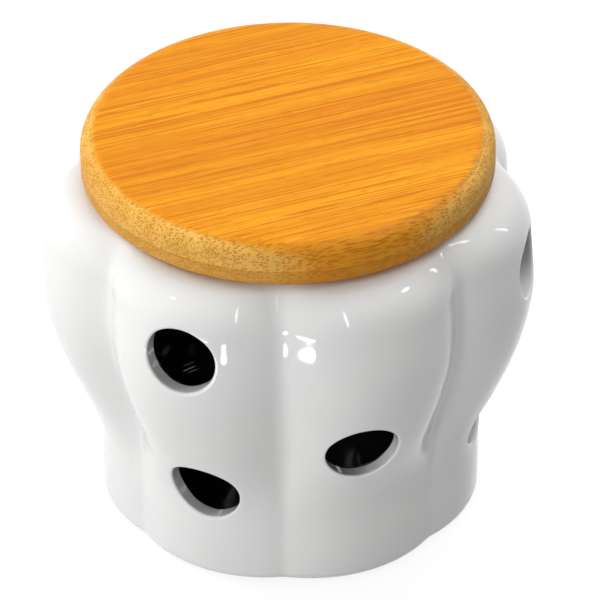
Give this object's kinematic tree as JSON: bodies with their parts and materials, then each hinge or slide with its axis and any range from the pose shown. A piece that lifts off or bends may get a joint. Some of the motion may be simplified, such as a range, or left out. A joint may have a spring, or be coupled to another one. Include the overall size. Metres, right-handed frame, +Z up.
{
  "type": "garlic keeper",
  "caption": "Lobed ceramic storage jar with round vents through its wall and a lift-off bamboo lid with a plug and sealing ring.",
  "frame": {"origin": "centre of the jar's foot, on the surface that it stands on", "axes": "+Z up along the jar's axis through the lid; a crease between two lobes faces -Y"},
  "size_m": [0.1197, 0.118, 0.1022],
  "materials": {
    "white_glaze": "gloss",
    "bamboo": "satin",
    "silicone": "matte"
  },
  "bodies": {
    "jar": {"ceramic_jar": "white_glaze"},
    "lid": {"lid_lower_strip_1": "bamboo", "lid_lower_strip_2": "bamboo", "lid_lower_strip_3": "bamboo", "lid_lower_strip_4": "bamboo", "lid_lower_strip_5": "bamboo", "lid_upper_strip_1": "bamboo", "lid_upper_strip_2": "bamboo", "lid_upper_strip_3": "bamboo", "lid_upper_strip_4": "bamboo", "lid_upper_strip_5": "bamboo", "lid_plug": "bamboo", "sealing_ring": "silicone"}
  },
  "joints": [
    {"name": "lid_lift", "type": "slide", "parent": "jar", "child": "lid", "axis": [0, 0, 1], "range_m": [0, 0.03]}
  ]
}
